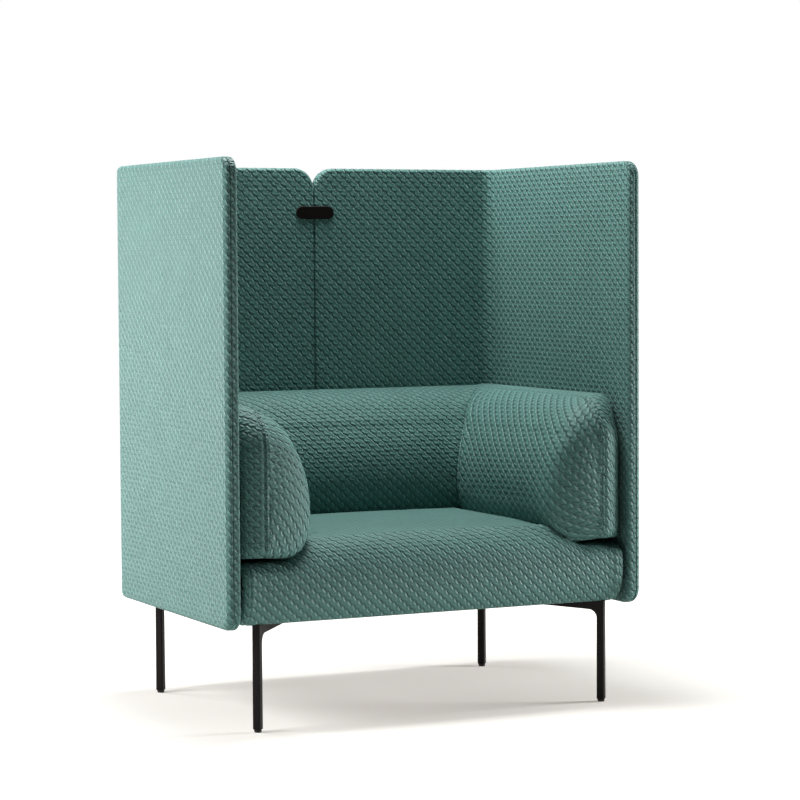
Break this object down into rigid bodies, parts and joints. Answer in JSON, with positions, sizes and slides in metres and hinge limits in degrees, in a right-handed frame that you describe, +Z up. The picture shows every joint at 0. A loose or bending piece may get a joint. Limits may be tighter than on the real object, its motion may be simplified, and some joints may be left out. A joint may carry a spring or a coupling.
{
  "type": "high-back sofa",
  "caption": "High-back sofa: upholstered screens joined by a clip wrap a crowned seat with mitred back and arm bolsters, on slim metal legs with levelling glides.",
  "frame": {"origin": "on the floor under the middle of the sofa's box", "axes": "+X to the right of someone facing the sofa, +Y to the rear, +Z up"},
  "size_m": [1.12, 0.78, 1.36],
  "materials": {
    "upholstery": "matte woven cloth with a small raised motif",
    "dark_metal": "satin powder coat",
    "plywood": "raw birch plywood",
    "foam": "cut foam",
    "webbing": "elastic webbing",
    "dust_cloth": "non-woven cloth",
    "glide_plastic": "moulded",
    "zinc_steel": "zinc plated"
  },
  "bodies": {
    "sofa": {"arm_board_left": "plywood", "arm_board_right": "plywood", "arm_cover_left": "upholstery", "arm_cover_right": "upholstery", "arm_foam_left": "foam", "arm_foam_right": "foam", "back_board": "plywood", "back_cover": "upholstery", "back_foam": "foam", "bolster_bolts": "zinc_steel", "frame_bolts": "zinc_steel", "frame_spacers": "zinc_steel", "leg_front_left": "dark_metal", "leg_front_right": "dark_metal", "leg_rear_left": "dark_metal", "leg_rear_right": "dark_metal", "leg_screws": "zinc_steel", "screen_board_left": "plywood", "screen_board_right": "plywood", "screen_clip_front": "dark_metal", "screen_clip_rear": "dark_metal", "screen_clip_screws": "zinc_steel", "screen_inner_pad_left": "upholstery", "screen_inner_pad_right": "upholstery", "screen_inserts": "zinc_steel", "screen_outer_pad_left": "upholstery", "screen_outer_pad_right": "upholstery", "seat_corner_blocks": "plywood", "seat_cover": "upholstery", "seat_dust_cover": "dust_cloth", "seat_foam": "foam", "seat_rail_front": "plywood", "seat_rail_left": "plywood", "seat_rail_rear": "plywood", "seat_rail_right": "plywood", "seat_webbing": "webbing"},
    "glide_front_left": {"glide_pad_front_left": "glide_plastic", "glide_stem_front_left": "zinc_steel"},
    "glide_front_right": {"glide_pad_front_right": "glide_plastic", "glide_stem_front_right": "zinc_steel"},
    "glide_rear_left": {"glide_pad_rear_left": "glide_plastic", "glide_stem_rear_left": "zinc_steel"},
    "glide_rear_right": {"glide_pad_rear_right": "glide_plastic", "glide_stem_rear_right": "zinc_steel"}
  },
  "joints": [
    {"name": "glide_front_left_height", "type": "slide", "parent": "sofa", "child": "glide_front_left", "axis": [0, 0, -1], "range_m": [0, 0.01]},
    {"name": "glide_front_right_height", "type": "slide", "parent": "sofa", "child": "glide_front_right", "axis": [0, 0, -1], "range_m": [0, 0.01]},
    {"name": "glide_rear_left_height", "type": "slide", "parent": "sofa", "child": "glide_rear_left", "axis": [0, 0, -1], "range_m": [0, 0.01]},
    {"name": "glide_rear_right_height", "type": "slide", "parent": "sofa", "child": "glide_rear_right", "axis": [0, 0, -1], "range_m": [0, 0.01]}
  ]
}
